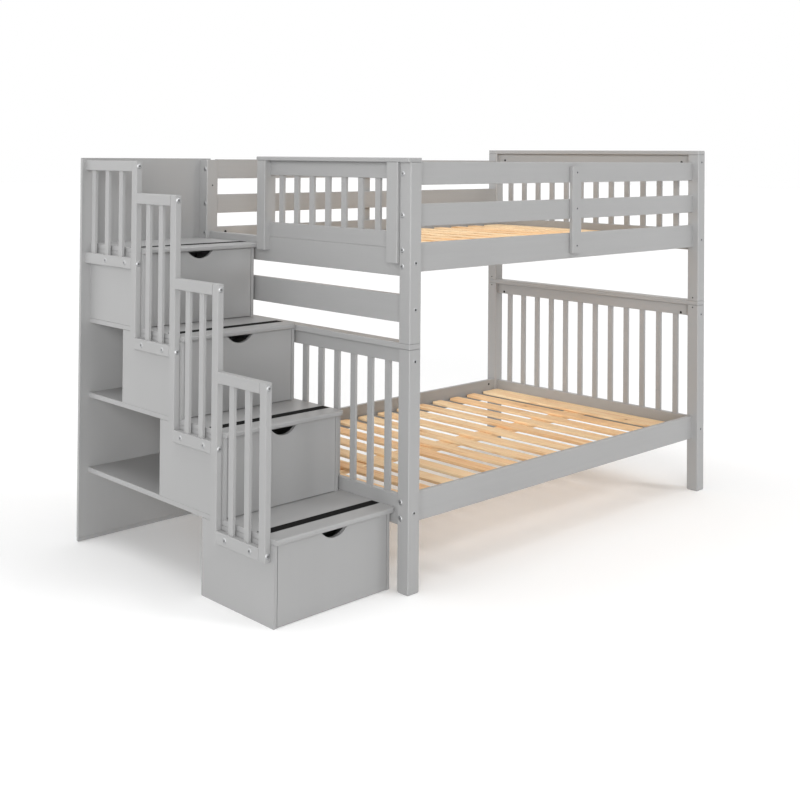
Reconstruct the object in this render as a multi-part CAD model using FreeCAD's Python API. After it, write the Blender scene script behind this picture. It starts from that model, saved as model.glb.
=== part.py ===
import FreeCAD, Part
import math
import os

# Bunk bed for two full-width mattresses, with drawer stairs at one end.
# Lengths are in millimetres.  While the bed is laid out, x = 0 is the stair face of the
# stair-end posts and x grows towards the far end; y = 0 is the front face of the front
# posts and y grows towards the rear; z = 0 is the floor.  Every piece is shifted when it
# is saved, so that the origin is the middle of the footprint, on the floor.

V = FreeCAD.Vector
CUT = 1.0                  # cutting tools run this far past the faces they open

# ---- bed: overall ----
BED_LENGTH = 2210.0        # outer faces of the end posts
BED_WIDTH = 1480.0         # outer faces of the front and rear posts
POST = 64.0                # square posts
EASE = 2.0                 # eased edges of every bar and board
POST_EASE = 3.0
FOOT_EASE = 6.0            # chamfer round the foot of a post

# ---- bed: heights ----
LOWER_POST_TOP = 980.0
LOWER_CAP = 25.0           # board that closes the lower end frames
STAIR_POST_TOP = 1735.0    # posts beside the stairs
FAR_POST_TOP = 1779.0      # taller posts of the far end
FAR_CAP = 23.0
GUARD_CAP = 19.0

# ---- bed: end frames ----
END_RAIL = 24.0            # thickness of the end rails
LOWER_TOP_RAIL = 59.0
LOWER_BOTTOM_RAIL = 122.0
LOWER_BOTTOM_RAIL_Z = 264.0
MID_BOARD = 113.0
MID_BOARD_Z = 1084.0
APRON = 113.0
APRON_Z = 1272.0
FAR_TOP_RAIL = 95.0
BAR_WIDTH = 31.0           # upright bars of the end panels
BAR_DEPTH = 12.0
BAR_COUNT = 12
TENON = 10.0               # depth that a bar runs into its rails

# ---- bed: guard panel above the stairs ----
GUARD_BOTTOM_RAIL = 67.0
GUARD_TOP_RAIL = 67.0
FRONT_STILE_WIDTH = 65.0
FREE_STILE_WIDTH = 59.0
STILE_DEPTH = 64.0
STILE_PROUD = 12.0         # the stiles stand this far in front of the posts
STILE_LAP = 59.0           # and hang this far over the face of the apron
STILE_GAP = 2.0            # between the front stile and the post
GUARD_LENGTH = 1000.0      # front face of the bed to the free edge of the guard
GUARD_CAP_OVERHANG = 8.0
GUARD_BAR_COUNT = 7
GUARD_BAR_LEAN = 16.0      # the bars are spaced as if the free stile stood this far further on

# ---- bed: side rails and guard boards ----
SIDE_SETBACK = 36.0        # outer face of the posts to outer face of the boards
SIDE_BOARD = 22.0          # board thickness
SIDE_RAIL = 118.0
LOWER_SIDE_RAIL_Z = 274.0
UPPER_SIDE_RAIL_Z = 1288.0
MID_GUARD_BOARD = 92.0
TOP_GUARD_BOARD = 95.0
TOP_GUARD_DROP = 92.0      # top of the stair-end posts down to the lower edge of the top board
GUARD_BOARD_PITCH = 170.0
GUARD_BOARD_CLEAR = 50.0   # least gap between the side rail and the lowest guard board
BATTEN_WIDTH = 67.0        # upright that ties rail and guard boards together
BATTEN_DEPTH = 20.0
BATTEN_OFFSET = {"front": 11.0, "rear": -28.0}   # from the middle of the bed to its middle
BATTEN_LOW_GAP = 24.0      # above the lower edge of the side rail
BATTEN_HIGH_GAP = 19.0     # below the upper edge of the top guard board

# ---- bed: slats ----
SLAT_DROP = 61.0           # top of the side rail down to the top of the slats
SLAT_WIDTH = 78.0
SLAT_THICK = 14.0
SLAT_EASE = 3.0            # eased long edges
SLAT_PITCH = 146.5
SLAT_CORNER = 15.0
END_SLAT_WIDTH = 140.0     # wider slat against the far end
END_SLAT_GAP = 2.0
SLAT_END_GAP = 2.0
LEDGER_WIDTH = 22.0
LEDGER_HEIGHT = 32.0
BEAM_WIDTH = 96.0
BEAM_THICK = 20.0

# ---- stairs ----
STAIR_WIDTH = 592.0
STEP_RISE = 340.0
FIRST_RISE = 332.0
STEPS = 4
TREAD = 22.0
NOSE = 16.0                # tread in front of the drawer box
NOSE_RADIUS = 8.0
TREAD_EASE = 2.0           # eased ends of the treads
TREAD_CORNER = 18.0
FIRST_BOX_Y = 108.0
FIRST_GOING = 320.0
LANDING_DEPTH = 446.0      # front of the last box to the back panel
FIRST_BOX_DEPTH = 466.0
BOX_DEPTH = 458.0
SIDE_PANEL = 15.0
BOX_BACK = 9.0
GRIP_OFFSET = 88.0         # tread nose to the grip strip
GRIP_WIDTH = 47.0
GRIP_THICK = 0.8
GRIP_END_GAP = 9.0

# ---- stairs: back panels ----
BACK_PANEL = 16.0
BACK_FOOT_GAP = 20.0
BACK_SEAM_Z = 916.0
BACK_ABOVE_POST = 6.0
BACK_OVERHANG = 45.0       # past the open side of the stairs

# ---- stairs: hand rails on the open side ----
RAIL_DEPTH = 28.0
RAIL_POST = 40.0
RAIL_POST_OFFSET = 12.0    # drawer box front to the front face of its rail post
FIRST_RAIL_POST_OFFSET = 21.0
RAIL_TOP_ABOVE = 580.0     # rail top above its tread
LAST_RAIL_DROP = 5.0       # below the top of the stair-end posts
TOP_RAIL = 45.0
BOTTOM_RAIL = 48.0
BOTTOM_RAIL_DROP = 88.0    # tread top down to the lower edge of its bottom rail
RAIL_BARS = (2, 2, 2, 3)
LAST_RAIL_BAR_LEAN = 40.0  # the last rail's bars are spaced as if it ran this far further

# ---- drawers ----
FRONT_THICK = 16.0
FRONT_SIDE_GAP = 3.0
FRONT_TOP_GAP = 2.0
FRONT_BOTTOM_GAP = 3.0
FINGER_WIDTH = 132.0
FINGER_DEPTH = 32.0
TRAY_REAR_GAP = 9.0        # behind the tray in the shallowest box
TRAY_WALL = 12.0
TRAY_BOTTOM = 6.0
TRAY_BOTTOM_RISE = 8.0
TRAY_HEIGHT = 225.0
RUNNER_WIDTH = 22.0
RUNNER_HEIGHT = 14.0
RUNNER_GAP = 0.3           # running gap between runner and tray
RUNNER_END_GAP = 4.0

# ---- worked out from the sizes above ----
RAIL_X = (POST - END_RAIL) / 2
FAR_X = BED_LENGTH - POST
REAR_Y = BED_WIDTH - POST
LOWER_CAP_TOP = LOWER_POST_TOP + LOWER_CAP
APRON_TOP = APRON_Z + APRON
BOARD_Y = {"front": SIDE_SETBACK, "rear": BED_WIDTH - SIDE_SETBACK - SIDE_BOARD}
BATTEN_Y = {"front": SIDE_SETBACK - BATTEN_DEPTH, "rear": BED_WIDTH - SIDE_SETBACK}
TOP_GUARD_BOARD_Z = STAIR_POST_TOP - TOP_GUARD_DROP
BACK_Y = BED_WIDTH         # the back panels lie against the rear faces of the posts
GOING = (BACK_Y - LANDING_DEPTH - FIRST_BOX_Y - FIRST_GOING) / (STEPS - 2)
TRAY_LENGTH = LANDING_DEPTH - FRONT_THICK - TRAY_REAR_GAP
BACK_X = -STAIR_WIDTH - BACK_OVERHANG
MIDDLE = V((BED_LENGTH + BACK_X) / 2, (BACK_Y + BACK_PANEL) / 2, 0)


def save(node, *solids):
    """Write one node, shifted so that the origin is the middle of the footprint."""
    shape = solids[0] if len(solids) == 1 else Part.makeCompound(list(solids))
    shape.translate(-MIDDLE)
    shape.exportStep("parts/" + node + ".step")


def block(x, y, z):
    """Plain box from three (low, high) pairs."""
    return Part.makeBox(x[1] - x[0], y[1] - y[0], z[1] - z[0], V(x[0], y[0], z[0]))


def span(start, length):
    return (start, start + length)


def prism(points, direction):
    wire = Part.makePolygon(points + points[:1])
    return Part.Face(wire).extrude(direction)


def octagon(a, b, ease):
    """Corners of the rectangle a by b with its corners cut by ease."""
    return [(a[0] + ease, b[0]), (a[1] - ease, b[0]), (a[1], b[0] + ease), (a[1], b[1] - ease),
            (a[1] - ease, b[1]), (a[0] + ease, b[1]), (a[0], b[1] - ease), (a[0], b[0] + ease)]


def bar(along, x, y, z, ease=EASE):
    """Bar or board whose four long edges are eased; along is "x", "y" or "z"."""
    if along == "x":
        return prism([V(x[0], a, b) for a, b in octagon(y, z, ease)], V(x[1] - x[0], 0, 0))
    if along == "y":
        return prism([V(a, y[0], b) for a, b in octagon(x, z, ease)], V(0, y[1] - y[0], 0))
    return prism([V(a, b, z[0]) for a, b in octagon(x, y, ease)], V(0, 0, z[1] - z[0]))


def cap(x, y, z):
    """Board laid on a frame, with every edge eased."""
    ease = POST_EASE
    return bar("x", x, y, z, ease).common(bar("y", x, y, z, ease)).common(bar("z", x, y, z, ease))


def end_rail_x(end):
    """Thickness span of the rails in one end frame: they sit in the middle of the posts."""
    return span(RAIL_X if end == "stair" else FAR_X + RAIL_X, END_RAIL)


def bars_between(x, starts, z, width=BAR_WIDTH):
    """Upright bars with square tenons that enter the rails below and above."""
    middle = (x[0] + x[1]) / 2
    depth = (middle - BAR_DEPTH / 2, middle + BAR_DEPTH / 2)
    return [block(depth, span(start, width), (z[0] - TENON, z[1] + TENON)) for start in starts]


def even_starts(low, high, count, width=BAR_WIDTH):
    """Low edges of bars that leave equal gaps between low and high."""
    gap = (high - low - count * width) / (count + 1)
    return [low + gap + i * (width + gap) for i in range(count)]


def mortised(rail, bars):
    for piece in bars:
        rail = rail.cut(piece)
    return rail


# ---------------------------------------------------------------- bed: posts and caps
def post(x0, y0, z0, z1, foot):
    shaft_low = z0 + FOOT_EASE if foot else z0
    shaft = bar("z", span(x0, POST), span(y0, POST), (shaft_low, z1), POST_EASE)
    if not foot:
        return shaft
    wide = [V(a, b, shaft_low) for a, b in octagon(span(x0, POST), span(y0, POST), POST_EASE)]
    inset = FOOT_EASE / 2
    narrow_x = (x0 + inset, x0 + POST - inset)
    narrow_y = (y0 + inset, y0 + POST - inset)
    narrow = [V(a, b, z0) for a, b in octagon(narrow_x, narrow_y, POST_EASE)]
    wires = [Part.makePolygon(ring + ring[:1]) for ring in (narrow, wide)]
    return shaft.fuse(Part.makeLoft(wires, True, True)).removeSplitter()


def posts():
    for end, x0, top in (("stair", 0.0, STAIR_POST_TOP), ("far", FAR_X, FAR_POST_TOP)):
        for side, y0 in (("front", 0.0), ("rear", REAR_Y)):
            save("lower_post_%s_%s" % (end, side), post(x0, y0, 0.0, LOWER_POST_TOP, True))
            save("upper_post_%s_%s" % (end, side), post(x0, y0, LOWER_CAP_TOP, top, False))


def caps():
    full = (0.0, BED_WIDTH)
    lower = (LOWER_POST_TOP, LOWER_CAP_TOP)
    save("lower_cap_stair", cap(span(0.0, POST), full, lower))
    save("lower_cap_far", cap(span(FAR_X, POST), full, lower))
    save("upper_cap_far", cap(span(FAR_X, POST), full, span(FAR_POST_TOP, FAR_CAP)))
    guard_y = (0.0, GUARD_LENGTH + GUARD_CAP_OVERHANG)
    save("guard_cap", cap((-STILE_PROUD, POST), guard_y, span(STAIR_POST_TOP, GUARD_CAP)))


# ---------------------------------------------------------------- bed: end frames
def end_panel(end, low, high):
    """Bottom rail low, top rail high (z spans) and the bars between them."""
    x = end_rail_x(end)
    between = (POST, REAR_Y)
    bars = bars_between(x, even_starts(POST, REAR_Y, BAR_COUNT), (low[1], high[0]))
    rails = [mortised(bar("y", x, between, z), bars) for z in (low, high)]
    return rails, bars


def lower_ends():
    low = span(LOWER_BOTTOM_RAIL_Z, LOWER_BOTTOM_RAIL)
    high = (LOWER_POST_TOP - LOWER_TOP_RAIL, LOWER_POST_TOP)
    rails, bars = end_panel("stair", low, high)
    save("lower_bottom_rail_stair", rails[0])
    save("lower_top_rail_stair", rails[1])
    save("lower_bars_stair", *bars)
    rails, bars = end_panel("far", low, high)
    save("lower_end_rails_far", *rails)
    save("lower_bars_far", *bars)


def upper_far_end():
    high = (FAR_POST_TOP - FAR_TOP_RAIL, FAR_POST_TOP)
    rails, bars = end_panel("far", (APRON_Z, APRON_TOP), high)
    save("upper_end_rails_far", *rails)
    save("upper_bars_far", *bars)


def upper_stair_end():
    x = end_rail_x("stair")
    between = (POST, REAR_Y)
    save("mid_board", bar("y", x, between, span(MID_BOARD_Z, MID_BOARD)))
    save("apron_rail", bar("y", x, between, (APRON_Z, APRON_TOP)))


# ---------------------------------------------------------------- bed: guard panel
def stile(y):
    """Thick upright: stands on the apron and laps over its face."""
    body = bar("z", span(-STILE_PROUD, STILE_DEPTH), y, (APRON_TOP - STILE_LAP, STAIR_POST_TOP))
    behind = (RAIL_X, STILE_DEPTH)
    notch = block(behind, (y[0] - CUT, y[1] + CUT), (APRON_TOP - STILE_LAP - CUT, APRON_TOP))
    return body.cut(notch)


def guard_panel():
    x = end_rail_x("stair")
    front = span(POST + STILE_GAP, FRONT_STILE_WIDTH)
    free = (GUARD_LENGTH - FREE_STILE_WIDTH, GUARD_LENGTH)
    between = (front[1], free[0])
    low = span(APRON_TOP, GUARD_BOTTOM_RAIL)
    high = (STAIR_POST_TOP - GUARD_TOP_RAIL, STAIR_POST_TOP)
    starts = even_starts(between[0], between[1] + GUARD_BAR_LEAN, GUARD_BAR_COUNT)
    bars = bars_between(x, starts, (low[1], high[0]))
    save("guard_bottom_rail", mortised(bar("y", x, between, low), bars))
    save("guard_top_rail", mortised(bar("y", x, between, high), bars))
    save("guard_bars", *bars)
    save("guard_stiles", stile(front), stile(free))


# ---------------------------------------------------------------- bed: sides
def guard_board_spans():
    """Heights of the guard boards: the top one, and as many below it as clear the side rail."""
    spans = [span(TOP_GUARD_BOARD_Z, TOP_GUARD_BOARD)]
    low = TOP_GUARD_BOARD_Z - GUARD_BOARD_PITCH
    while low >= UPPER_SIDE_RAIL_Z + SIDE_RAIL + GUARD_BOARD_CLEAR:
        spans.append(span(low, MID_GUARD_BOARD))
        low -= GUARD_BOARD_PITCH
    return spans


def sides():
    x = (POST, FAR_X)
    for side in ("front", "rear"):
        y = span(BOARD_Y[side], SIDE_BOARD)
        save("lower_side_rail_" + side, bar("x", x, y, span(LOWER_SIDE_RAIL_Z, SIDE_RAIL)))
        save("upper_side_rail_" + side, bar("x", x, y, span(UPPER_SIDE_RAIL_Z, SIDE_RAIL)))
        save("guard_boards_" + side, *[bar("x", x, y, z) for z in guard_board_spans()])
    z = (UPPER_SIDE_RAIL_Z + BATTEN_LOW_GAP, TOP_GUARD_BOARD_Z + TOP_GUARD_BOARD - BATTEN_HIGH_GAP)
    battens = []
    for side in ("front", "rear"):
        x = span(BED_LENGTH / 2 + BATTEN_OFFSET[side] - BATTEN_WIDTH / 2, BATTEN_WIDTH)
        battens.append(bar("z", x, span(BATTEN_Y[side], BATTEN_DEPTH), z))
    save("guard_battens", *battens)


# ---------------------------------------------------------------- bed: slats
def rounded_slat(x, y, z):
    """Slat with rounded corners in plan and eased long edges."""
    r = SLAT_CORNER
    k = r * (1 - math.sqrt(0.5))
    corners = [(x[0], y[0], 1, 1), (x[1], y[0], -1, 1), (x[1], y[1], -1, -1), (x[0], y[1], 1, -1)]
    ends = []
    for n, (cx, cy, dx, dy) in enumerate(corners):
        along_x = V(cx + dx * r, cy, z[0])
        along_y = V(cx, cy + dy * r, z[0])
        middle = V(cx + dx * k, cy + dy * k, z[0])
        ends.append((along_y, middle, along_x) if n % 2 == 0 else (along_x, middle, along_y))
    edges = []
    for n, (a, m, b) in enumerate(ends):
        edges.append(Part.Arc(a, m, b).toShape())
        edges.append(Part.LineSegment(b, ends[(n + 1) % 4][0]).toShape())
    slat = Part.Face(Part.Wire(edges)).extrude(V(0, 0, z[1] - z[0]))
    return slat.common(bar("y", x, y, z, SLAT_EASE))


def slat_set(rail_z):
    top = rail_z + SIDE_RAIL - SLAT_DROP
    z = (top - SLAT_THICK, top)
    y = (POST + SLAT_END_GAP, REAR_Y - SLAT_END_GAP)
    end_high = FAR_X + RAIL_X - END_SLAT_GAP
    slats = [rounded_slat((end_high - END_SLAT_WIDTH, end_high), y, z)]
    high = end_high - END_SLAT_WIDTH - (SLAT_PITCH - SLAT_WIDTH)
    room = high - (RAIL_X + END_RAIL + END_SLAT_GAP)
    for n in range(int((room - SLAT_WIDTH) // SLAT_PITCH) + 1):
        right = high - n * SLAT_PITCH
        slats.append(rounded_slat((right - SLAT_WIDTH, right), y, z))
    return slats


def ledgers(rail_z):
    top = rail_z + SIDE_RAIL - SLAT_DROP - SLAT_THICK
    z = (top - LEDGER_HEIGHT, top)
    x = (POST, FAR_X)
    inner = {"front": BOARD_Y["front"] + SIDE_BOARD, "rear": BOARD_Y["rear"] - LEDGER_WIDTH}
    return [bar("x", x, span(inner[side], LEDGER_WIDTH), z) for side in ("front", "rear")]


def centre_beam(rail_z):
    top = rail_z + SIDE_RAIL - SLAT_DROP - SLAT_THICK
    x = (RAIL_X + END_RAIL, FAR_X + RAIL_X)
    y = span(BED_WIDTH / 2 - BEAM_WIDTH / 2, BEAM_WIDTH)
    return bar("x", x, y, (top - BEAM_THICK, top))


def bed_bases():
    save("lower_slats", *slat_set(LOWER_SIDE_RAIL_Z))
    save("upper_slats", *slat_set(UPPER_SIDE_RAIL_Z))
    save("slat_ledgers", *ledgers(LOWER_SIDE_RAIL_Z), *ledgers(UPPER_SIDE_RAIL_Z))
    save("centre_beams", centre_beam(LOWER_SIDE_RAIL_Z), centre_beam(UPPER_SIDE_RAIL_Z))


# ---------------------------------------------------------------- stairs
def tread_top(step):
    return FIRST_RISE + (step - 1) * STEP_RISE


def box_front(step):
    return FIRST_BOX_Y if step == 1 else FIRST_BOX_Y + FIRST_GOING + (step - 2) * GOING


def box_rear(step):
    if step == STEPS:
        return BACK_Y
    return box_front(step) + (FIRST_BOX_DEPTH if step == 1 else BOX_DEPTH)


def box_z(step):
    """Clear height of a drawer box, from what it stands on to the underside of its tread."""
    low = 0.0 if step == 1 else tread_top(step - 1)
    return (low, tread_top(step) - TREAD)


def tread(step):
    """Board with a rounded nose; it runs on behind the box, as a shelf, to the back panel."""
    z = (tread_top(step) - TREAD, tread_top(step))
    nose = box_front(step) - NOSE
    r = NOSE_RADIUS
    k = r * (1 - math.sqrt(0.5))
    x = -STAIR_WIDTH
    lower_arc = Part.Arc(V(x, nose + r, z[0]), V(x, nose + k, z[0] + k), V(x, nose, z[0] + r))
    upper_arc = Part.Arc(V(x, nose, z[1] - r), V(x, nose + k, z[1] - k), V(x, nose + r, z[1]))
    edges = [lower_arc.toShape(),
             Part.LineSegment(V(x, nose, z[0] + r), V(x, nose, z[1] - r)).toShape(),
             upper_arc.toShape(),
             Part.LineSegment(V(x, nose + r, z[1]), V(x, BACK_Y, z[1])).toShape(),
             Part.LineSegment(V(x, BACK_Y, z[1]), V(x, BACK_Y, z[0])).toShape(),
             Part.LineSegment(V(x, BACK_Y, z[0]), V(x, nose + r, z[0])).toShape()]
    reach = tread_reach(step)
    board = Part.Face(Part.Wire(edges)).extrude(V(STAIR_WIDTH + reach, 0, 0))
    board = board.common(bar("y", (-STAIR_WIDTH, reach), (nose, BACK_Y), z, TREAD_EASE))
    if reach > 0:
        board = board.cut(block((0.0, reach + CUT), (REAR_Y, BACK_Y + CUT), (z[0] - CUT, z[1] + CUT)))
    corner_x = (reach - TREAD_CORNER, reach + CUT)
    corner_y = (nose - CUT, nose + TREAD_CORNER)
    corner = block(corner_x, corner_y, (z[0] - CUT, z[1] + CUT))
    centre = V(reach - TREAD_CORNER, nose + TREAD_CORNER, z[0] - CUT)
    rounding = Part.makeCylinder(TREAD_CORNER, TREAD + 2 * CUT, centre)
    return board.cut(corner.cut(rounding))


def tread_reach(step):
    """How far a tread runs past x = 0: up to the end rails, unless the lower cap is in its way."""
    low = tread_top(step) - TREAD
    meets_cap = low < LOWER_CAP_TOP and tread_top(step) > LOWER_POST_TOP
    return 0.0 if meets_cap else RAIL_X


def runner(step, x0):
    z = span(box_z(step)[0], RUNNER_HEIGHT)
    last = box_rear(step) - (BOX_BACK if step < STEPS else 0)
    y = (box_front(step) + FRONT_THICK + RUNNER_END_GAP, last - RUNNER_END_GAP)
    return block(span(x0, RUNNER_WIDTH), y, z)


def stair_boxes():
    left = -STAIR_WIDTH
    backs = []
    for step in range(1, STEPS + 1):
        y = (box_front(step), box_rear(step))
        z = box_z(step)
        panels = [block(span(left, SIDE_PANEL), y, z), block((-SIDE_PANEL, 0.0), y, z)]
        runners = [runner(step, left + SIDE_PANEL), runner(step, -SIDE_PANEL - RUNNER_WIDTH)]
        save("stair_sides_%d" % step, *panels, *runners)
        save("tread_%d" % step, tread(step))
        if step < STEPS:
            inside = (left + SIDE_PANEL, -SIDE_PANEL)
            backs.append(block(inside, (y[1] - BOX_BACK, y[1]), z))
    save("stair_box_backs", *backs)


def grips():
    strips = []
    for step in range(1, STEPS + 1):
        x = (-STAIR_WIDTH + GRIP_END_GAP, tread_reach(step) - GRIP_END_GAP)
        y = span(box_front(step) - NOSE + GRIP_OFFSET, GRIP_WIDTH)
        strips.append(block(x, y, span(tread_top(step), GRIP_THICK)))
    save("tread_grips", *strips)


def stair_backs():
    y = span(BACK_Y, BACK_PANEL)
    x = (BACK_X, POST)
    save("stair_back_lower", block(x, y, (BACK_FOOT_GAP, BACK_SEAM_Z)))
    save("stair_back_upper", block(x, y, (BACK_SEAM_Z, STAIR_POST_TOP + BACK_ABOVE_POST)))


# ---------------------------------------------------------------- stairs: hand rails
def rail_post_front(step):
    offset = FIRST_RAIL_POST_OFFSET if step == 1 else RAIL_POST_OFFSET
    return box_front(step) + offset


def rail_top(step):
    return STAIR_POST_TOP - LAST_RAIL_DROP if step == STEPS else tread_top(step) + RAIL_TOP_ABOVE


def bottom_rail_low(step):
    return tread_top(step) - BOTTOM_RAIL_DROP


def hand_rails():
    x = (-STAIR_WIDTH - RAIL_DEPTH, -STAIR_WIDTH)
    posts_, rails, bars = [], [], []
    for step in range(1, STEPS + 1):
        front = rail_post_front(step)
        low_step = max(1, step - 1)
        posts_.append(bar("z", x, span(front, RAIL_POST), (bottom_rail_low(low_step), rail_top(step))))
        next_face = BACK_Y if step == STEPS else rail_post_front(step + 1)
        y = (front + RAIL_POST, next_face)
        low = span(bottom_rail_low(step), BOTTOM_RAIL)
        high = (rail_top(step) - TOP_RAIL, rail_top(step))
        lean = LAST_RAIL_BAR_LEAN if step == STEPS else 0.0
        starts = even_starts(y[0], y[1] + lean, RAIL_BARS[step - 1])
        own = bars_between(x, starts, (low[1], high[0]))
        rails.append(mortised(bar("y", x, y, low), own))
        rails.append(mortised(bar("y", x, y, high), own))
        bars.extend(own)
    save("stair_rail_posts", *posts_)
    save("stair_rails", *rails)
    save("stair_rail_bars", *bars)


# ---------------------------------------------------------------- drawers
def drawer_x():
    return (-STAIR_WIDTH + SIDE_PANEL + FRONT_SIDE_GAP, -SIDE_PANEL - FRONT_SIDE_GAP)


def drawer_front(step):
    """Flat front with a half-moon finger pull cut down from its top edge."""
    x = drawer_x()
    low, high = box_z(step)
    z = (low + FRONT_BOTTOM_GAP, high - FRONT_TOP_GAP)
    y = span(box_front(step), FRONT_THICK)
    half = FINGER_WIDTH / 2
    radius = (half ** 2 + FINGER_DEPTH ** 2) / (2 * FINGER_DEPTH)
    centre = V((x[0] + x[1]) / 2, y[0] - CUT, z[1] - FINGER_DEPTH + radius)
    pull = Part.makeCylinder(radius, FRONT_THICK + 2 * CUT, centre, V(0, 1, 0))
    return block(x, y, z).cut(pull)


def drawer_tray(step):
    """Open tray: two sides, a back and a bottom let into them; the front closes it."""
    x = drawer_x()
    y = span(box_front(step) + FRONT_THICK, TRAY_LENGTH)
    low = box_z(step)[0] + RUNNER_HEIGHT + RUNNER_GAP
    z = span(low, TRAY_HEIGHT)
    body = block(x, y, z)
    inside_x = (x[0] + TRAY_WALL, x[1] - TRAY_WALL)
    inside_y = (y[0] - CUT, y[1] - TRAY_WALL)
    room = block(inside_x, inside_y, (low + TRAY_BOTTOM_RISE + TRAY_BOTTOM, z[1] + CUT))
    under = block(inside_x, inside_y, (low - CUT, low + TRAY_BOTTOM_RISE))
    return body.cut(room).cut(under)


def drawers():
    for step in range(1, STEPS + 1):
        save("drawer_front_%d" % step, drawer_front(step))
        save("drawer_tray_%d" % step, drawer_tray(step))


os.makedirs("parts", exist_ok=True)
posts()
caps()
lower_ends()
upper_far_end()
upper_stair_end()
guard_panel()
sides()
bed_bases()
stair_boxes()
grips()
stair_backs()
hand_rails()
drawers()
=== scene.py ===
import math

import bmesh
import bpy
from mathutils import Matrix, Vector


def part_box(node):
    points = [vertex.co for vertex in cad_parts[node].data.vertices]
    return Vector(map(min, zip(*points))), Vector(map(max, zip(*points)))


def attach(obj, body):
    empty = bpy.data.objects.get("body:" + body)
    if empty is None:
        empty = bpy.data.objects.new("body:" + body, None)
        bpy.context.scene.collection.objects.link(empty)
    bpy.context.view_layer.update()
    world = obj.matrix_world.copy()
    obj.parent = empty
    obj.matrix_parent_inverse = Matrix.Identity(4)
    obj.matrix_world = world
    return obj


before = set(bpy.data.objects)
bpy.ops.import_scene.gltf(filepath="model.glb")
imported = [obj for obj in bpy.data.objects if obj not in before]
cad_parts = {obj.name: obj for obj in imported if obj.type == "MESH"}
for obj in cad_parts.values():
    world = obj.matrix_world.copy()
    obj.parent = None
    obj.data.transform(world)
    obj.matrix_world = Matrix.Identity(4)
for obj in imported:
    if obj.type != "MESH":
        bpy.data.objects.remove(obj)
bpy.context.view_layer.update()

# Looks of a painted bunk bed with drawer stairs.  Lengths are in metres, in the part's own
# frame: the stairs are at the -X end, the front of the bed faces -Y, the floor is z = 0.

MM = 0.001
BED = "bed_and_stairs"

# ---- colours, as they look in plain light ----
PAINT_TONE = (163, 163, 163)
PAINT_DEEP = (157, 157, 157)
PINE_PALE = (255, 229, 188)
PINE_MID = (252, 212, 164)
PINE_DEEP = (214, 154, 94)
PINE_KNOT = (150, 98, 56)
GRIP_BLACK = (7, 7, 7)
GRIP_GRIT = (38, 38, 38)
STEEL_BRIGHT = (188, 189, 190)
STEEL_DULL = (138, 139, 140)
# painted shade: the floors of the sockets and the drilled holes get these dark tones in place of
# the shade inside them
SOCKET_SHADE_PALE = (132, 132, 132)
SOCKET_SHADE_DEEP = (98, 98, 98)
HOLE_SHADE_DEEP = (16, 16, 16)
HOLE_SHADE_PALE = (44, 44, 44)

# ---- grain ----
GRAIN_STRETCH = 0.035          # the grain changes this much slower along a board than across it
SLAT_PITCH = 146.5 * MM
SLAT_CELL_LEAD = 1 * MM        # each slat's wood starts this far in front of the slat
BOARD_MIDDLE = 0.25            # middle of a slat, as a share of the pitch
BUNK_RISE = 1014 * MM          # lower slats to upper slats
BUNK_SEED_STEP = 41.0          # keeps the boards of the two bunks apart in the draw
BEAM_CELL = 200 * MM
PITH_SPREAD = 110 * MM         # the log's middle lies within this of the board, to either side
PITH_LEAST = 12 * MM           # and at least this far below it
PITH_REACH = 60 * MM
PITH_SLOPE = 0.05              # how far the log's middle drifts along the board
PITH_BEND = 50 * MM
PITH_DIP = 20 * MM
RING_PITCH = 5.5 * MM
RING_WAVE = 6 * MM
LATE_WOOD_LEAST = 0.16         # depth of the dark rings, and how much it varies by board
LATE_WOOD_SPREAD = 0.30
BAND_DEPTH = 0.45
FIBRE_DEPTH = 0.25
KNOT_SCALE = 7.5               # cells per metre that may hold a knot
KNOT_STRETCH = 0.55
KNOT_CORE = (0.025, 0.07)      # where a knot fades out, as a share of its cell
KNOT_HALO = (0.04, 0.24)
KNOT_DEPTH = 0.85
HALO_DEPTH = 0.35

# ---- roughness: the least, and how much it varies ----
PAINT_ROUGH = (0.36, 0.10)
PINE_ROUGH = (0.55, 0.12)
GRIP_ROUGH = (0.85, 0.10)
STEEL_ROUGH = (0.38, 0.16)
SHADE_ROUGH = (0.6, 0.2)

# ---- paint ----
PAINT_RELIEF = {"x": 1.0, "y": 0.7, "z": 0.25}     # how much grain shows, by its direction
PAINT_FIBRE_TINT = 0.35        # share of each layer in the tone of the paint
PAINT_BAND_TINT = 0.45
PAINT_CLOUD_TINT = 0.5
PAINT_FIBRE_HEIGHT = 0.7       # share of each layer in the bump
PAINT_BAND_HEIGHT = 0.6
PAINT_PEEL_HEIGHT = 0.15

# ---- fasteners ----
SINK = 0.3 * MM                # a head starts this far inside the face that it sits on
HEAD_SIDES = 20
CUTTER_DEPTH = 4.0             # of the socket's cutter, in rises of the head
CUTTER_LIFT = 2.2
SOCKET_FLOOR_RADIUS = 0.49     # in socket widths
SOCKET_FLOOR_DEPTH = 0.3       # in rises of the head, as is its lift
SOCKET_FLOOR_LIFT = 0.3
SPIN_SEED = 7                  # each head is turned by chance
BOLT = {"Width": 24 * MM, "Rise": 2.4 * MM, "Top": 0.7, "Socket Width": 10 * MM, "Sides": 6}
SUNK_BOLT = {"Width": 21 * MM, "Rise": 1.0 * MM, "Top": 0.8, "Socket Width": 10 * MM, "Sides": 6}
SUNK_BOLT_SMALL = {"Width": 12 * MM, "Rise": 0.8 * MM, "Top": 0.9, "Socket Width": 9 * MM,
                   "Sides": 6}
# nut holes and joint holes: a thin paint ring round a disc of painted shade
NUT_HOLE = {"Width": 16 * MM, "Rise": 0.5 * MM, "Top": 0.96, "Socket Width": 14 * MM, "Sides": 20}
JOINT_HOLE = {"Width": 9 * MM, "Rise": 0.4 * MM, "Top": 0.96, "Socket Width": 8 * MM, "Sides": 20}
SCREW = {"Width": 8 * MM, "Rise": 0.7 * MM, "Top": 0.8, "Socket Width": 4 * MM, "Sides": 4}
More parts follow.
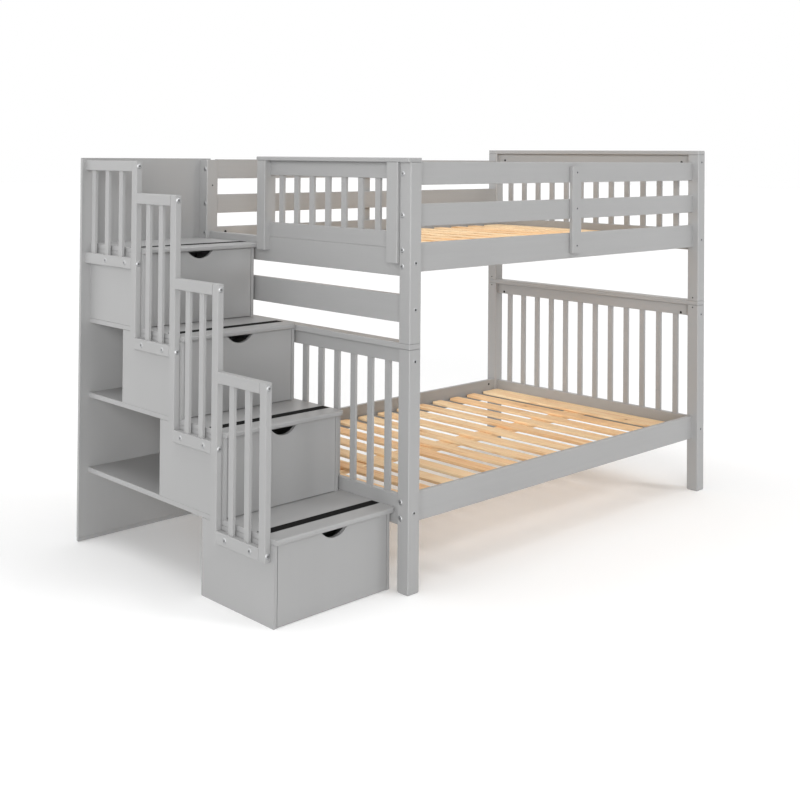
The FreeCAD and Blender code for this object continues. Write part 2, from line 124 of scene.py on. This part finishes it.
SIDE_BOLT_SPREAD = 33 * MM     # side rails have two bolts, this far above and below the middle
GUARD_BOLT_INSET = 48 * MM     # guard boards: bolts from their outer edges
TOP_RAIL_BOLT_DROP = 18 * MM   # lower top rails: bolt below the middle of the rail
FAR_TOP_BOLT_DROP = 39 * MM    # below the cap of the far end
NUT_REACH = 52 * MM            # barrel nut from the face of the post
JOINT_HOLE_ABOVE = 15 * MM     # holes of the stacking pins, from the faces of the lower caps
JOINT_HOLE_BELOW = 11 * MM
PILOT_HOLE_DROP = 125 * MM     # spare hole of the rear stair post, below its top
STEP_COUNT = 4
RAIL_POST_WIDTH = 40 * MM
RAIL_POST_OFFSETS = (21 * MM, 12 * MM, 12 * MM, 12 * MM)     # from the drawer fronts
RAIL_BOLT_START = 53 * MM      # hand rails: first bolt behind the rail post
RAIL_BOLT_PITCH = 160 * MM
RAIL_BOLT_COUNT = 2
BOTTOM_RAIL_DROP = 64 * MM     # tread top down to the middle of the bottom rail
TOP_RAIL_RISE = 557.5 * MM     # tread top up to the middle of the top rail
LAST_TOP_RAIL_DROP = 22.5 * MM
BACK_FOOT_RISE = 3 * MM        # the strip under the back panel stays this far off the floor
BACK_FOOT_EASE = 1.5 * MM
BACK_SCREW_MARGIN = 60 * MM
BACK_SCREW_COUNT = 4

# ---- camera, from the vanishing lines of the bed ----
CAMERA_PLACE = (-4.06064, -4.05412, 1.75845)
CAMERA_HEADING = 0.79996       # turned from +X towards +Y
CAMERA_PITCH = 0.01267
CAMERA_ROLL = 0.00793
CAMERA_LENS = 52.147
CAMERA_SENSOR = 36.0
CAMERA_SHIFT_Y = -0.3227

# ---- light: where each soft lamp stands, its level and its width in degrees ----
LAMPS = {
    "camera_side": ((-0.70, -0.70, 0.18), 2.50, 36),
    "overhead": ((0.0, 0.0, 1.0), 1.90, 60),
    "left_rear": ((-0.70, 0.70, 0.40), 1.10, 70),
    "key": ((0.38, -0.68, 0.62), 0.55, 12),
    "right": ((0.80, -0.50, 0.65), 0.15, 20),
}
WORLD_LEVEL = 0.06
FLOOR_HALF = 60.0
FLOOR_TONE = 0.84
FLOOR_GLOW = 0.17              # lifts the open floor to the white of the backdrop


def linear(tone):
    """Linear RGBA of a colour given as 0-255 display values."""
    def channel(c):
        c = c / 255
        return c / 12.92 if c <= 0.04045 else ((c + 0.055) / 1.055) ** 2.4
    return tuple(channel(c) for c in tone) + (1.0,)


# ---------------------------------------------------------------- node helpers
class Value:
    """Output socket of a node; arithmetic on it adds Math nodes to its net."""

    def __init__(self, net, socket):
        self.net = net
        self.socket = socket

    def math(self, operation, *others):
        return self.net.node("ShaderNodeMath", {"operation": operation}, dict(enumerate(others)))

    def __add__(self, other):
        return self.math("ADD", self, other)

    def __sub__(self, other):
        return self.math("SUBTRACT", self, other)

    def __rsub__(self, other):
        return self.math("SUBTRACT", other, self)

    def __mul__(self, other):
        return self.math("MULTIPLY", self, other)

    def __truediv__(self, other):
        return self.math("DIVIDE", self, other)

    def __pow__(self, other):
        return self.math("POWER", self, other)

    __radd__ = __add__
    __rmul__ = __mul__

    def floor(self):
        return self.math("FLOOR", self)

    def root(self):
        return self.math("SQRT", self)

    def sine(self):
        return self.math("SINE", self)


class Net:
    """Nodes of one tree."""

    def __init__(self, tree):
        self.tree = tree
        tree.nodes.clear()

    def node(self, kind, settings=None, inputs=None, output=0):
        """Add a node: its settings first, then the values or links of its sockets."""
        made = self.tree.nodes.new(kind)
        for name, value in (settings or {}).items():
            setattr(made, name, value)
        for key, value in (inputs or {}).items():
            socket = made.inputs[key]
            if isinstance(value, Value):
                self.tree.links.new(value.socket, socket)
            else:
                socket.default_value = value
        return Value(self, made.outputs[output]) if made.outputs else made

    def split(self, vector):
        """The x, y and z of a vector."""
        first = self.node("ShaderNodeSeparateXYZ", inputs={0: vector})
        outputs = first.socket.node.outputs
        return [Value(self, outputs[i]) for i in range(3)]

    def join(self, x, y, z):
        return self.node("ShaderNodeCombineXYZ", inputs={0: x, 1: y, 2: z})

    def noise(self, place, scale, detail, roughness):
        return self.node("ShaderNodeTexNoise", inputs={
            "Vector": place, "Scale": scale, "Detail": detail, "Roughness": roughness})

    def blend(self, share, low, high):
        """Mix of two colours; share may be a value or a number."""
        return self.node("ShaderNodeMix", {"data_type": "RGBA"},
                         {0: share, 6: low, 7: high}, output=2)

    def ramp(self, share, low, high):
        """0 at low, 1 at high, smooth between."""
        return self.node("ShaderNodeMapRange", {"interpolation_type": "SMOOTHSTEP"},
                         {"Value": share, "From Min": low, "From Max": high})


def new_material(name):
    material = bpy.data.materials.new(name)
    material.use_nodes = True
    return material, Net(material.node_tree)


def rough(levels, share):
    """Roughness that varies with share."""
    least, spread = levels
    return least + share * spread


def surface(net, values, height, bump_strength, bump_distance):
    """Close a material with a Principled surface that has a bump."""
    bump = net.node("ShaderNodeBump", inputs={
        "Height": height, "Strength": bump_strength, "Distance": bump_distance})
    shader = net.node("ShaderNodeBsdfPrincipled", inputs={**values, "Normal": bump})
    net.node("ShaderNodeOutputMaterial", inputs={"Surface": shader})


# ---------------------------------------------------------------- finishes
def stretched(net, place, along):
    """Coordinates that change slowly along one axis, for grain and brush marks."""
    scale = [GRAIN_STRETCH if axis == along else 1.0 for axis in "xyz"]
    return net.node("ShaderNodeMapping", inputs={"Vector": place, "Scale": scale})


def satin_paint(along, relief):
    """Sprayed satin paint through which the grain of the board shows faintly."""
    material, net = new_material("satin_paint_along_" + along)
    place = net.node("ShaderNodeTexCoord", output="Object")
    run = stretched(net, place, along)
    fibres = net.noise(run, scale=420.0, detail=5.0, roughness=0.6)
    bands = net.noise(run, scale=46.0, detail=3.0, roughness=0.55)
    cloud = net.noise(place, scale=2.4, detail=2.0, roughness=0.5)
    orange_peel = net.noise(place, scale=900.0, detail=1.0, roughness=0.5)
    share = (fibres * (PAINT_FIBRE_TINT * relief) + bands * (PAINT_BAND_TINT * relief)
             + cloud * PAINT_CLOUD_TINT)
    light = net.ramp(share, low=0.35 * relief, high=0.5 + 0.45 * relief)
    tone = net.blend(light, linear(PAINT_DEEP), linear(PAINT_TONE))
    satin = rough(PAINT_ROUGH, bands)
    height = (fibres * (PAINT_FIBRE_HEIGHT * relief) + bands * (PAINT_BAND_HEIGHT * relief)
              + orange_peel * PAINT_PEEL_HEIGHT)
    surface(net, {"Base Color": tone, "Roughness": satin, "Specular IOR Level": 0.45},
            height, bump_strength=0.15, bump_distance=0.4 * MM)
    return material


def solid_pine(name, along, pitch, first):
    """Planed softwood cut from a log: rings round an axis that runs below each board."""
    material, net = new_material(name)
    place = net.node("ShaderNodeTexCoord", output="Object")
    x, y, height = net.split(place)
    across, run = (x, y) if along == "y" else (y, x)
    board = ((across - first) / pitch).floor()
    bunk = (height / BUNK_RISE).floor()
    seed = net.node("ShaderNodeTexWhiteNoise", {"noise_dimensions": "1D"},
                    {"W": board + bunk * BUNK_SEED_STEP}, output="Color")
    chance_a, chance_b, chance_c = net.split(seed)
    in_board = across - first - (board + BOARD_MIDDLE) * pitch
    above = height - bunk * BUNK_RISE
    slow = net.noise(net.join(board * 3.7 + bunk, run * 1.3, above),
                     scale=1.0, detail=2.0, roughness=0.5)
    pith_across = (in_board + (chance_a - 0.5) * PITH_SPREAD
                   + run * (chance_c - 0.5) * PITH_SLOPE + slow * PITH_BEND)
    pith_below = PITH_LEAST + chance_b * PITH_REACH + slow * PITH_DIP
    wavy = net.noise(net.join(across * 30.0, run * 1.6, above * 30.0),
                     scale=1.0, detail=3.0, roughness=0.6)
    radius = (pith_across ** 2.0 + pith_below ** 2.0).root() + wavy * RING_WAVE
    rings = (radius * (2 * math.pi / RING_PITCH)).sine() * 0.5 + 0.5
    late_wood = net.ramp(rings, low=0.5, high=1.0)
    fibres = net.noise(net.join(across, run * 0.02, above),
                       scale=1500.0, detail=3.0, roughness=0.6)
    bands = net.noise(net.join(across, run * 0.03, above),
                      scale=90.0, detail=2.0, roughness=0.5)
    patches = net.noise(net.join(across * 4.0, run * 0.8 + board * 5.1, bunk),
                        scale=3.0, detail=2.0, roughness=0.5)
    # knots: few, small, dark, drawn out along the board
    knot_place = net.join(across, run * KNOT_STRETCH, above + bunk)
    knot_cell = net.node("ShaderNodeTexVoronoi", {"voronoi_dimensions": "3D"},
                         {"Vector": knot_place, "Scale": KNOT_SCALE})
    knot = 1.0 - net.ramp(knot_cell, *KNOT_CORE)
    halo = 1.0 - net.ramp(knot_cell, *KNOT_HALO)
    base = net.blend(net.ramp(patches + chance_a * 0.5 - 0.25, low=0.2, high=0.8),
                     linear(PINE_MID), linear(PINE_PALE))
    # each layer darkens the wood below it towards the deep tone
    tone = base
    for share in (net.ramp(bands, low=0.5, high=0.75) * BAND_DEPTH,
                  late_wood * (LATE_WOOD_LEAST + chance_b * LATE_WOOD_SPREAD),
                  net.ramp(fibres, low=0.52, high=0.8) * FIBRE_DEPTH,
                  halo * HALO_DEPTH):
        tone = net.blend(share, tone, linear(PINE_DEEP))
    tone = net.blend(knot * KNOT_DEPTH, tone, linear(PINE_KNOT))
    planed = rough(PINE_ROUGH, fibres)
    surface(net, {"Base Color": tone, "Roughness": planed, "Specular IOR Level": 0.35},
            late_wood * 0.5 + fibres * 0.6, bump_strength=0.2, bump_distance=0.4 * MM)
    return material


def grit_strip():
    """Black anti-slip tape: mineral grit with a few grains that catch the light."""
    material, net = new_material("grit_strip")
    place = net.node("ShaderNodeTexCoord", output="Object")
    grains = net.node("ShaderNodeTexVoronoi", inputs={"Vector": place, "Scale": 900.0})
    specks = net.node("ShaderNodeTexVoronoi", inputs={"Vector": place, "Scale": 1400.0},
                      output="Color")
    bright = net.ramp(net.split(specks)[0], low=0.93, high=1.0)
    tone = net.blend(bright, linear(GRIP_BLACK), linear(GRIP_GRIT))
    surface(net, {"Base Color": tone, "Roughness": rough(GRIP_ROUGH, bright),
                  "Specular IOR Level": 0.12},
            1.0 - grains, bump_strength=0.6, bump_distance=0.6 * MM)
    return material


def bolt_steel():
    """Zinc-plated steel, dulled unevenly."""
    material, net = new_material("bolt_steel")
    place = net.node("ShaderNodeTexCoord", output="Object")
    blotches = net.noise(place, scale=260.0, detail=3.0, roughness=0.6)
    tone = net.blend(blotches, linear(STEEL_DULL), linear(STEEL_BRIGHT))
    surface(net, {"Base Color": tone, "Metallic": 1.0, "Roughness": rough(STEEL_ROUGH, blotches)},
            blotches, bump_strength=0.1, bump_distance=0.2 * MM)
    return material


def shade(name, dark, light):
    """Painted shade for the inside of sockets and drilled holes: blotched dark tones that stand
    in for the shade in them.
    """
    material, net = new_material(name)
    place = net.node("ShaderNodeTexCoord", output="Object")
    blotches = net.noise(place, scale=300.0, detail=3.0, roughness=0.6)
    tone = net.blend(net.ramp(blotches, low=0.35, high=0.75), linear(dark), linear(light))
    surface(net, {"Base Color": tone, "Roughness": rough(SHADE_ROUGH, blotches),
                  "Specular IOR Level": 0.2},
            blotches, bump_strength=0.2, bump_distance=0.2 * MM)
    return material


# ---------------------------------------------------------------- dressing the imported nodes
GRAIN_ALONG = {
    "x": ["lower_side_rail_", "upper_side_rail_", "guard_boards_", "tread_1", "tread_2",
          "tread_3", "tread_4", "slat_ledgers"],
    "y": ["lower_cap_", "upper_cap_", "guard_cap", "lower_bottom_rail_", "lower_top_rail_",
          "lower_end_rails_", "upper_end_rails_", "mid_board", "apron_rail",
          "guard_bottom_rail", "guard_top_rail", "stair_rails"],
    "z": ["lower_post_", "upper_post_", "lower_bars_", "upper_bars_", "guard_bars",
          "guard_stiles", "guard_battens", "stair_sides_", "stair_box_backs", "stair_back_",
          "stair_rail_posts", "stair_rail_bars", "drawer_front_", "drawer_tray_"],
}


def give(node, material):
    """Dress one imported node."""
    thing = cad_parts[node]
    thing.data.materials.clear()
    thing.data.materials.append(material)


def dress_frame():
    """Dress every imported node; the paints come back, by the direction of their grain."""
    paints = {along: satin_paint(along, relief) for along, relief in PAINT_RELIEF.items()}
    for along, starts in GRAIN_ALONG.items():
        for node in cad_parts:
            if node.startswith(tuple(starts)):
                give(node, paints[along])
    first_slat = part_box("lower_slats")[0].x - SLAT_CELL_LEAD
    slat_pine = solid_pine("slat_pine", "y", SLAT_PITCH, first_slat)
    give("lower_slats", slat_pine)
    give("upper_slats", slat_pine)
    beam_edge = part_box("centre_beams")[0].y - SLAT_CELL_LEAD
    give("centre_beams", solid_pine("beam_pine", "x", BEAM_CELL, beam_edge))
    give("tread_grips", grit_strip())
    return paints


# ---------------------------------------------------------------- fasteners
def socket_head_tree():
    """Flat heads with a chamfered edge and a socket whose floor carries painted shade, one on
    each point, facing outward.
    """
    tree = bpy.data.node_groups.new("socket_heads", "GeometryNodeTree")
    outside = tree.interface
    outside.new_socket("Geometry", in_out="OUTPUT", socket_type="NodeSocketGeometry")
    outside.new_socket("Points", in_out="INPUT", socket_type="NodeSocketGeometry")
    for name in ("Width", "Rise", "Top", "Socket Width"):
        outside.new_socket(name, in_out="INPUT", socket_type="NodeSocketFloat")
    outside.new_socket("Sides", in_out="INPUT", socket_type="NodeSocketInt")
    for name in ("Finish", "Socket Shade"):
        outside.new_socket(name, in_out="INPUT", socket_type="NodeSocketMaterial")
    net = Net(tree)
    given = net.node("NodeGroupInput").socket.node.outputs
    width, rise, top, socket_width = (Value(net, given[name])
                                      for name in ("Width", "Rise", "Top", "Socket Width"))
    sides = Value(net, given["Sides"])
    disc = net.node("GeometryNodeMeshCone", inputs={
        "Vertices": HEAD_SIDES, "Radius Top": width * top * 0.5, "Radius Bottom": width * 0.5,
        "Depth": rise + SINK})
    prism = net.node("GeometryNodeMeshCylinder", inputs={
        "Vertices": sides, "Radius": socket_width * 0.5, "Depth": rise * CUTTER_DEPTH})
    lifted = net.node("GeometryNodeTransform", inputs={
        "Geometry": prism, "Translation": net.join(0.0, 0.0, rise * CUTTER_LIFT + SINK)})
    head = net.node("GeometryNodeMeshBoolean", {"operation": "DIFFERENCE", "solver": "EXACT"},
                    {"Mesh 1": disc, "Mesh 2": lifted})
    plated = net.node("GeometryNodeSetMaterial", inputs={
        "Geometry": head, "Material": Value(net, given["Finish"])})
    # socket floor: a disc of painted shade at the bottom of the socket
    socket_floor = net.node("GeometryNodeMeshCylinder", inputs={
        "Vertices": sides, "Radius": socket_width * SOCKET_FLOOR_RADIUS,
        "Depth": rise * SOCKET_FLOOR_DEPTH})
    sunk = net.node("GeometryNodeTransform", inputs={
        "Geometry": socket_floor,
        "Translation": net.join(0.0, 0.0, rise * SOCKET_FLOOR_LIFT + SINK)})
    shaded = net.node("GeometryNodeSetMaterial", inputs={
        "Geometry": sunk, "Material": Value(net, given["Socket Shade"])})
    joined = net.node("GeometryNodeJoinGeometry")
    for part in (plated, shaded):
        tree.links.new(part.socket, joined.socket.node.inputs[0])
    seated = net.node("GeometryNodeTransform", inputs={
        "Geometry": joined, "Translation": (0.0, 0.0, -SINK)})
    facing = net.node("GeometryNodeInputNamedAttribute", {"data_type": "FLOAT_VECTOR"},
                      {"Name": "facing"})
    aim = net.node("FunctionNodeAlignRotationToVector", {"axis": "Z"}, {"Vector": facing})
    spin = net.node("FunctionNodeRandomValue", {"data_type": "FLOAT"},
                    {"Min": 0.0, "Max": math.pi, "Seed": SPIN_SEED}, output=1)
    turn = net.node("FunctionNodeAxisAngleToRotation", inputs={"Axis": (0, 0, 1), "Angle": spin})
    aimed = net.node("FunctionNodeRotateRotation", {"rotation_space": "LOCAL"},
                     {"Rotation": aim, "Rotate By": turn})
    heads = net.node("GeometryNodeInstanceOnPoints", inputs={
        "Points": Value(net, given["Points"]), "Instance": seated, "Rotation": aimed})
    real = net.node("GeometryNodeRealizeInstances", inputs={"Geometry": heads})
    net.node("NodeGroupOutput", inputs={"Geometry": real})
    return tree


def set_heads(name, tree, spots, sizes, finish, socket_shade):
    """Put a head on every (place, facing) of spots and keep the result as one plain mesh."""
    mesh = bpy.data.meshes.new(name + "_spots")
    mesh.from_pydata([place for place, _ in spots], [], [])
    facing = mesh.attributes.new("facing", "FLOAT_VECTOR", "POINT")
    for item, (_, direction) in zip(facing.data, spots):
        item.vector = direction
    holder = bpy.data.objects.new(name + "_spots", mesh)
    bpy.context.scene.collection.objects.link(holder)
    modifier = holder.modifiers.new("heads", "NODES")
    modifier.node_group = tree
    values = dict(sizes)
    values["Finish"] = finish
    values["Socket Shade"] = socket_shade
    for item in tree.interface.items_tree:
        if item.in_out == "INPUT" and item.name in values:
            modifier[item.identifier] = values[item.name]
    bpy.context.view_layer.update()
    evaluated = holder.evaluated_get(bpy.context.evaluated_depsgraph_get())
    made = bpy.data.meshes.new_from_object(evaluated)
    bpy.data.objects.remove(holder)
    made.name = name
    piece = bpy.data.objects.new(name, made)
    bpy.context.scene.collection.objects.link(piece)
    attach(piece, BED)


def middle_z(node):
    """Height of the middle of a node."""
    low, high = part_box(node)
    return (low.z + high.z) / 2


def post_faces(end, side):
    """Outer end face (x) and outer side face (y) of one corner, with their outward directions."""
    low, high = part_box("lower_post_%s_%s" % (end, side))
    x, out_x = (low.x, -1) if end == "stair" else (high.x, 1)
    y, out_y = (low.y, -1) if side == "front" else (high.y, 1)
    return x, out_x, y, out_y


def post_middle(end, side):
    """Middle of one corner's post, across the bed."""
    low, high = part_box("lower_post_%s_%s" % (end, side))
    return (low.x + high.x) / 2, (low.y + high.y) / 2


def side_board_heights(side):
    """Heights of the bolts that hold the rails and guard boards of one side to the posts."""
    low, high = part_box("guard_boards_" + side)
    heights = [low.z + GUARD_BOLT_INSET, high.z - GUARD_BOLT_INSET]
    for rail in ("lower_side_rail_", "upper_side_rail_"):
        middle = middle_z(rail + side)
        heights += [middle - SIDE_BOLT_SPREAD, middle + SIDE_BOLT_SPREAD]
    return heights


def end_rail_heights(end):
    """Heights of the bolts that hold the end rails of one end to the posts."""
    heights = [middle_z("apron_rail"), middle_z("lower_top_rail_stair") - TOP_RAIL_BOLT_DROP,
               middle_z("lower_bottom_rail_stair")]
    if end == "stair":
        return heights + [middle_z("mid_board")]
    return heights + [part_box("upper_end_rails_far")[1].z - FAR_TOP_BOLT_DROP]


def end_face_bolts():
    """Bolts in the end faces of the posts, into the side rails and guard boards."""
    spots = []
    for side in ("front", "rear"):
        low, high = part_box("lower_side_rail_" + side)
        for end in ("stair", "far"):
            x, out_x, _, _ = post_faces(end, side)
            spots += [((x, (low.y + high.y) / 2, z), (out_x, 0, 0))
                      for z in side_board_heights(side)]
    return spots


def side_face_bolts():
    """Bolts in the front and rear faces of the posts, into the end rails."""
    spots = []
    for side in ("front", "rear"):
        for end in ("stair", "far"):
            _, _, y, out_y = post_faces(end, side)
            x = post_middle(end, side)[0]
            spots += [((x, y, z), (0, out_y, 0)) for z in end_rail_heights(end)]
    return spots


def batten_bolts():
    """Bolts of the two uprights that tie the side rail and the guard boards together."""
    spots = []
    low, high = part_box("guard_battens")
    corners = [vertex.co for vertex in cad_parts["guard_battens"].data.vertices]
    middle_y = (low.y + high.y) / 2
    for side, y, out in (("front", low.y, -1), ("rear", high.y, 1)):
        own = [corner.x for corner in corners if (corner.y - middle_y) * out > 0]
        x = (min(own) + max(own)) / 2
        rail = [middle_z("upper_side_rail_" + side)]
        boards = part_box("guard_boards_" + side)
        heights = rail + [boards[0].z + GUARD_BOLT_INSET, boards[1].z - GUARD_BOLT_INSET]
        spots += [((x, y, z), (0, out, 0)) for z in heights]
    return spots


def hand_rails():
    """For each step: rear face of its rail post, and the middles of its bottom and top rail."""
    rails = []
    for step, offset in enumerate(RAIL_POST_OFFSETS, start=1):
        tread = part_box("tread_%d" % step)[1].z
        top = tread + TOP_RAIL_RISE
        if step == STEP_COUNT:
            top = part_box("stair_rail_posts")[1].z - LAST_TOP_RAIL_DROP
        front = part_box("drawer_front_%d" % step)[0].y + offset
        rails.append((front + RAIL_POST_WIDTH, tread - BOTTOM_RAIL_DROP, top))
    return rails


def hand_rail_bolts():
    """Two bolts through each bottom rail, and one through the rail post into each rail's end."""
    spots = []
    low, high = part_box("stair_rail_posts")
    for behind_post, bottom, top in hand_rails():
        for number in range(RAIL_BOLT_COUNT):
            y = behind_post + RAIL_BOLT_START + number * RAIL_BOLT_PITCH
            spots.append(((low.x, y, bottom), (-1, 0, 0)))
        for z in (bottom, top):
            spots.append((((low.x + high.x) / 2, behind_post - RAIL_POST_WIDTH, z), (0, -1, 0)))
    return spots


def nut_holes():
    """Barrel nuts in the inner faces of the side rails and end rails, one for each bolt."""
    spots = []
    for side, inward in (("front", 1), ("rear", -1)):
        for rail in ("lower_side_rail_", "upper_side_rail_"):
            low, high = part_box(rail + side)
            y = high.y if side == "front" else low.y
            for x in (low.x + NUT_REACH, high.x - NUT_REACH):
                for spread in (-SIDE_BOLT_SPREAD, SIDE_BOLT_SPREAD):
                    spots.append(((x, y, middle_z(rail + side) + spread), (0, inward, 0)))
    low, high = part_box("apron_rail")
    far_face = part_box("upper_end_rails_far")[0].x
    for end, x, inward in (("stair", high.x, 1), ("far", far_face, -1)):
        for y in (low.y + NUT_REACH, high.y - NUT_REACH):
            spots += [((x, y, z), (inward, 0, 0)) for z in end_rail_heights(end)]
    return spots


def joint_holes():
    """Holes of the pins that hold the upper bed on the lower one, and the spare hole."""
    spots = []
    for end in ("stair", "far"):
        cap_low, cap_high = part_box("lower_cap_" + end)
        inward = 1 if end == "stair" else -1
        for side in ("front", "rear"):
            low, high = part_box("lower_post_%s_%s" % (end, side))
            x = high.x if end == "stair" else low.x
            y = post_middle(end, side)[1]
            for z in (cap_low.z - JOINT_HOLE_BELOW, cap_high.z + JOINT_HOLE_ABOVE):
                spots.append(((x, y, z), (inward, 0, 0)))
    low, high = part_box("upper_post_stair_rear")
    spots.append((((low.x + high.x) / 2, low.y, high.z - PILOT_HOLE_DROP), (0, -1, 0)))
    return spots


def back_screws():
    """Screws through the back panels into the rear edge of each tread."""
    spots = []
    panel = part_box("stair_back_lower")
    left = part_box("tread_1")[0].x + BACK_SCREW_MARGIN
    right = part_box("tread_3")[1].x - BACK_SCREW_MARGIN
    for step in range(1, STEP_COUNT + 1):
        for number in range(BACK_SCREW_COUNT):
            x = left + (right - left) * number / (BACK_SCREW_COUNT - 1)
            spots.append(((x, panel[1].y, middle_z("tread_%d" % step)), (0, 1, 0)))
    return spots


def fasteners(rail_paint):
    tree = socket_head_tree()
    steel = bolt_steel()
    # sockets and holes get painted shade: darker tones stand in for the shade inside them; nut
    # holes and joint holes are thin paint rings round a disc of painted shade, with no hole cut
    socket = shade("painted_socket_shade", SOCKET_SHADE_DEEP, SOCKET_SHADE_PALE)
    hole_shade = shade("painted_hole_shade", HOLE_SHADE_DEEP, HOLE_SHADE_PALE)
    set_heads("end_face_bolts", tree, end_face_bolts() + hand_rail_bolts(), BOLT, steel, socket)
    set_heads("side_face_bolts", tree, side_face_bolts(), SUNK_BOLT, steel, hole_shade)
    set_heads("batten_bolts", tree, batten_bolts(), SUNK_BOLT_SMALL, steel, hole_shade)
    set_heads("nut_holes", tree, nut_holes(), NUT_HOLE, rail_paint, hole_shade)
    set_heads("joint_holes", tree, joint_holes(), JOINT_HOLE, rail_paint, hole_shade)
    set_heads("back_screws", tree, back_screws(), SCREW, steel, socket)


def back_foot_strip(paint):
    """Strip in the gap between the back panel and the floor."""
    low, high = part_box("stair_back_lower")
    mesh = bpy.data.meshes.new("back_foot_strip")
    work = bmesh.new()
    bmesh.ops.create_cube(work, size=1.0)
    size = Vector((high.x - low.x, high.y - low.y, low.z - BACK_FOOT_RISE))
    middle = Vector(((low.x + high.x) / 2, (low.y + high.y) / 2, (low.z + BACK_FOOT_RISE) / 2))
    for vertex in work.verts:
        vertex.co = Vector(c * s for c, s in zip(vertex.co, size)) + middle
    bmesh.ops.bevel(work, geom=work.edges[:], offset=BACK_FOOT_EASE, segments=2, affect="EDGES")
    work.to_mesh(mesh)
    work.free()
    mesh.materials.append(paint)
    strip = bpy.data.objects.new("back_foot_strip", mesh)
    bpy.context.scene.collection.objects.link(strip)
    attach(strip, BED)


# ---------------------------------------------------------------- studio
def background_rays(net):
    """1 where the ray is the camera's or a reflection's own, 0 where it gathers light."""
    path = net.node("ShaderNodeLightPath").socket.node.outputs
    seen = Value(net, path["Is Camera Ray"])
    for name in ("Is Glossy Ray", "Is Transmission Ray"):
        seen = seen + Value(net, path[name])
    return seen.math("MINIMUM", seen, 1.0)


def studio_floor():
    mesh = bpy.data.meshes.new("floor")
    far = FLOOR_HALF
    corners = [(-far, -far, 0), (far, -far, 0), (far, far, 0), (-far, far, 0)]
    mesh.from_pydata(corners, [], [(0, 1, 2, 3)])
    floor = bpy.data.objects.new("floor", mesh)
    bpy.context.scene.collection.objects.link(floor)
    material, net = new_material("floor_white")
    matt = net.node("ShaderNodeBsdfDiffuse", inputs={"Color": (FLOOR_TONE,) * 3 + (1,)})
    glow = net.node("ShaderNodeEmission", inputs={
        "Color": (1, 1, 1, 1), "Strength": background_rays(net) * FLOOR_GLOW})
    both = net.node("ShaderNodeAddShader", inputs={0: matt, 1: glow})
    net.node("ShaderNodeOutputMaterial", inputs={"Surface": both})
    mesh.materials.append(material)


def studio_world():
    world = bpy.data.worlds.new("studio")
    world.use_nodes = True
    bpy.context.scene.world = world
    net = Net(world.node_tree)
    level = background_rays(net) * (1.0 - WORLD_LEVEL) + WORLD_LEVEL
    sky = net.node("ShaderNodeBackground", inputs={"Color": (1, 1, 1, 1), "Strength": level})
    net.node("ShaderNodeOutputWorld", inputs={"Surface": sky})


def soft_lamps():
    for name, (towards, level, angle) in LAMPS.items():
        lamp = bpy.data.lights.new(name, "SUN")
        lamp.energy = level
        lamp.angle = math.radians(angle)
        thing = bpy.data.objects.new(name, lamp)
        thing.rotation_euler = Vector(towards).to_track_quat("Z", "Y").to_euler()
        bpy.context.scene.collection.objects.link(thing)


def photo_camera():
    data = bpy.data.cameras.new("camera")
    data.lens = CAMERA_LENS
    data.sensor_width = CAMERA_SENSOR
    data.shift_y = CAMERA_SHIFT_Y
    camera = bpy.data.objects.new("camera", data)
    turn = Matrix.Rotation(CAMERA_HEADING - math.pi / 2, 4, "Z")
    tilt = Matrix.Rotation(math.pi / 2 + CAMERA_PITCH, 4, "X")
    roll = Matrix.Rotation(CAMERA_ROLL, 4, "Z")
    camera.matrix_world = Matrix.Translation(CAMERA_PLACE) @ turn @ tilt @ roll
    bpy.context.scene.collection.objects.link(camera)
    bpy.context.scene.camera = camera


photo_camera()
paints = dress_frame()
fasteners(paints["x"])
back_foot_strip(paints["x"])
studio_floor()
studio_world()
soft_lamps()
bpy.context.scene.view_settings.view_transform = "Standard"
